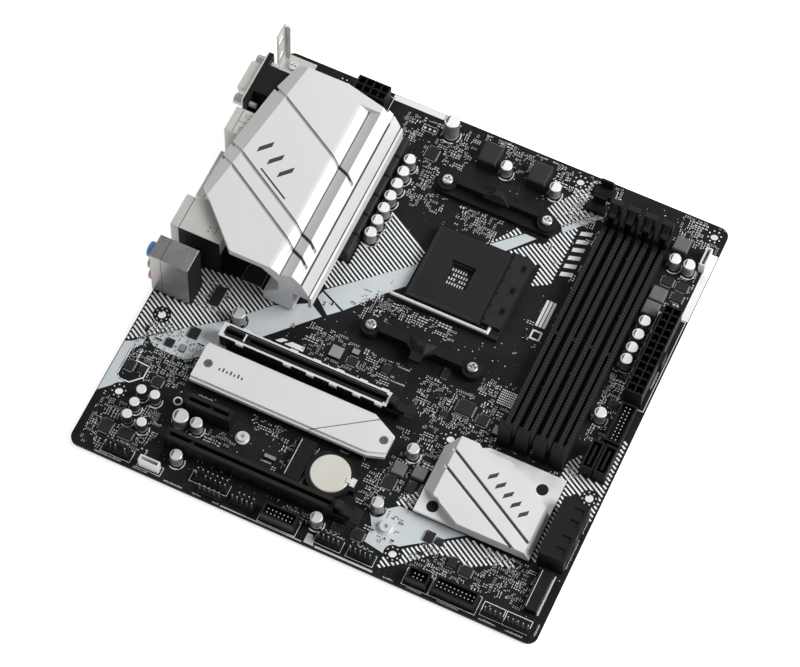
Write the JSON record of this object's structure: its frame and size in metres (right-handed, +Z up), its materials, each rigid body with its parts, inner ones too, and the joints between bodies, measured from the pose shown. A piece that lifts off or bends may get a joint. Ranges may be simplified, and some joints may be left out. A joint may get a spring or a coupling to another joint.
{
  "type": "computer motherboard",
  "caption": "Square micro-ATX computer motherboard: black circuit board with pale heatsinks, rear ports, processor socket, memory slots, card slots, drive ports and power headers.",
  "frame": {"origin": "centre of the rear upper case-screw hole, on the underside of the board", "axes": "+X from the rear port edge to the memory edge, +Y from the header edge to the top edge, +Z up out of the component face"},
  "size_m": [0.2503, 0.2438, 0.0398],
  "materials": {
    "board_laminate": "satin",
    "plated_steel": "satin",
    "screw_steel": "satin",
    "lever_steel": "satin",
    "backplate_steel": "matte",
    "ring_blue": "satin",
    "ring_green": "satin",
    "ring_pink": "satin",
    "heatsink_paint": "satin",
    "choke_ferrite": "matte",
    "choke_grey": "matte",
    "capacitor_can": "satin",
    "chip_resin": "matte",
    "gold_pins": "polished",
    "standoff_metal": "satin",
    "push_pin_plastic": "satin",
    "cell_steel": "satin",
    "socket_plastic": "matte",
    "white_plastic": "satin",
    "solder_tin": "polished",
    "black_plastic": "satin"
  },
  "bodies": {
    "board": {"antenna_bracket": "plated_steel", "antenna_bracket_screw": "screw_steel", "audio_capacitors": "capacitor_can", "audio_jack_body": "black_plastic", "audio_jack_shell": "plated_steel", "audio_ring_blue": "ring_blue", "audio_ring_green": "ring_green", "audio_ring_pink": "ring_pink", "battery_clip": "plated_steel", "battery_holder": "black_plastic", "card_sockets": "black_plastic", "card_standoffs": "standoff_metal", "chips": "chip_resin", "chipset_heatsink": "heatsink_paint", "circuit_board": "board_laminate", "coin_cell": "cell_steel", "cooler_backplate": "backplate_steel", "cooler_bracket_screws": "screw_steel", "cooler_brackets": "black_plastic", "data_port_shells": "plated_steel", "data_port_tongues": "black_plastic", "drive_cover": "heatsink_paint", "drive_cover_screws": "screw_steel", "drive_ports_angled": "black_plastic", "drive_ports_upright": "black_plastic", "expansion_slot_small": "black_plastic", "fan_headers": "black_plastic", "graphics_slot_lower": "black_plastic", "graphics_slot_steel_frame": "plated_steel", "graphics_slot_upper": "black_plastic", "header_pins": "gold_pins", "heatsink_push_pins": "push_pin_plastic", "large_capacitors": "capacitor_can", "main_power_connector": "black_plastic", "memory_chokes": "choke_grey", "memory_slots": "black_plastic", "network_port_body": "black_plastic", "network_port_shell": "plated_steel", "pin_header_bases": "black_plastic", "polymer_capacitors": "capacitor_can", "power_heatsink": "heatsink_paint", "power_transistors": "chip_resin", "processor_chokes": "choke_ferrite", "processor_power_connector": "black_plastic", "processor_socket_base": "socket_plastic", "solder_joints": "solder_tin", "video_port_housing": "black_plastic", "video_port_insert": "black_plastic", "video_port_jackscrews": "plated_steel", "video_port_shell": "plated_steel", "white_headers": "white_plastic", "wide_usb_headers": "black_plastic"},
    "processor_socket_lever": {"processor_socket_lever": "lever_steel"},
    "processor_socket_cover": {"processor_socket_cover": "socket_plastic"},
    "card_latch_upper": {"card_latch_upper": "black_plastic"},
    "card_latch_lower": {"card_latch_lower": "black_plastic"},
    "memory_latch_1": {"memory_latch_1": "black_plastic"},
    "memory_latch_2": {"memory_latch_2": "black_plastic"},
    "memory_latch_3": {"memory_latch_3": "black_plastic"},
    "memory_latch_4": {"memory_latch_4": "black_plastic"}
  },
  "joints": [
    {"name": "socket_lever_hinge", "type": "hinge", "parent": "board", "child": "processor_socket_lever", "pos_m": [0.14794, 0.05779, 0.00507], "axis": [0, 1, 0], "range_deg": [0, 95]},
    {"name": "socket_cover_slide", "type": "slide", "parent": "board", "child": "processor_socket_cover", "axis": [-1, 0, 0], "range_m": [0, 0.0008]},
    {"name": "memory_latch_1_hinge", "type": "hinge", "parent": "board", "child": "memory_latch_1", "pos_m": [0.17894, 0.14059, 0.00517], "axis": [-1, 0, 0], "range_deg": [0, 30]},
    {"name": "memory_latch_2_hinge", "type": "hinge", "parent": "board", "child": "memory_latch_2", "pos_m": [0.18808, 0.14059, 0.00517], "axis": [-1, 0, 0], "range_deg": [0, 30]},
    {"name": "memory_latch_3_hinge", "type": "hinge", "parent": "board", "child": "memory_latch_3", "pos_m": [0.19722, 0.14059, 0.00517], "axis": [-1, 0, 0], "range_deg": [0, 30]},
    {"name": "memory_latch_4_hinge", "type": "hinge", "parent": "board", "child": "memory_latch_4", "pos_m": [0.20636, 0.14059, 0.00517], "axis": [-1, 0, 0], "range_deg": [0, 30]},
    {"name": "card_latch_upper_hinge", "type": "hinge", "parent": "board", "child": "card_latch_upper", "pos_m": [0.12604, 0.00099, 0.00437], "axis": [0, 1, 0], "range_deg": [0, 20]},
    {"name": "card_latch_lower_hinge", "type": "hinge", "parent": "board", "child": "card_latch_lower", "pos_m": [0.12604, -0.05961, 0.00437], "axis": [0, 1, 0], "range_deg": [0, 20]}
  ],
  "couplings": [
    {"joint": "socket_cover_slide", "follows": "socket_lever_hinge", "m_per_rad": 0.00048}
  ]
}
